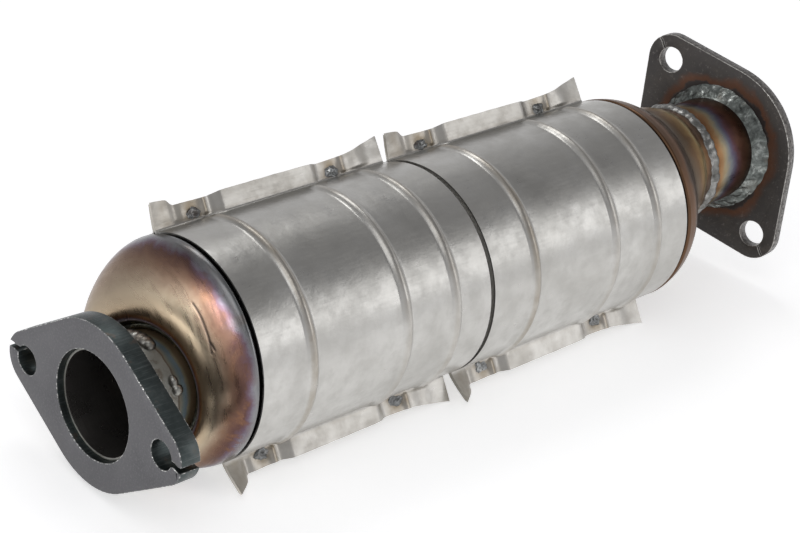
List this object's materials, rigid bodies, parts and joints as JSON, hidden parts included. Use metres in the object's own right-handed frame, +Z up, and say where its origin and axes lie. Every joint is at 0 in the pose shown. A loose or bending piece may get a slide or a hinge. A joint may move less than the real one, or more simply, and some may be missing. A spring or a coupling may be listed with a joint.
{
  "type": "catalytic converter",
  "caption": "Round exhaust catalytic converter with embossed two-piece heat shields, a spun inlet dome, a bent outlet pipe and a slit two-bolt flange at each end.",
  "frame": {"origin": "centre of the inlet flange's bore, in the plane of its gasket face", "axes": "+X along the body axis from the inlet to the outlet, +Z up as the part lies on its lower ribs and its lower seam, +Y to the far side of the pictured view"},
  "size_m": [0.4603, 0.132, 0.124],
  "materials": {
    "shield_sheet": "satin, lightly stained",
    "inlet_plate": "satin face, brushed edge",
    "outlet_plate": "dark mill scale",
    "weld_metal": "rippled weld bead",
    "tinted_cone": "satin, gold to violet heat tint",
    "outlet_tint": "satin, dark brown heat tint",
    "tinted_pipe": "satin, rainbow heat tint",
    "pipe_steel": "satin",
    "can_steel": "dull, dark",
    "brick_ceramic": "matte ceramic",
    "mat_fibre": "fibre mat",
    "blanket_fibre": "fibre blanket"
  },
  "bodies": {
    "root": {"inlet_flange": "inlet_plate", "inlet_pipe": "pipe_steel", "inlet_flange_weld": "weld_metal", "inlet_neck_weld": "weld_metal", "inlet_cone": "tinted_cone", "inlet_can_weld": "weld_metal", "converter_can": "can_steel", "front_brick": "brick_ceramic", "rear_brick": "brick_ceramic", "front_mat": "mat_fibre", "rear_mat": "mat_fibre", "front_insulation": "blanket_fibre", "rear_insulation": "blanket_fibre", "front_shield_near": "shield_sheet", "front_shield_far": "shield_sheet", "rear_shield_near": "shield_sheet", "rear_shield_far": "shield_sheet", "front_upper_seam_welds": "weld_metal", "front_lower_seam_welds": "weld_metal", "rear_upper_seam_welds": "weld_metal", "rear_lower_seam_welds": "weld_metal", "outlet_can_weld": "weld_metal", "outlet_cone": "outlet_tint", "outlet_neck_weld": "weld_metal", "outlet_pipe": "tinted_pipe", "outlet_flange_weld": "weld_metal", "outlet_flange": "outlet_plate"}
  },
  "joints": []
}
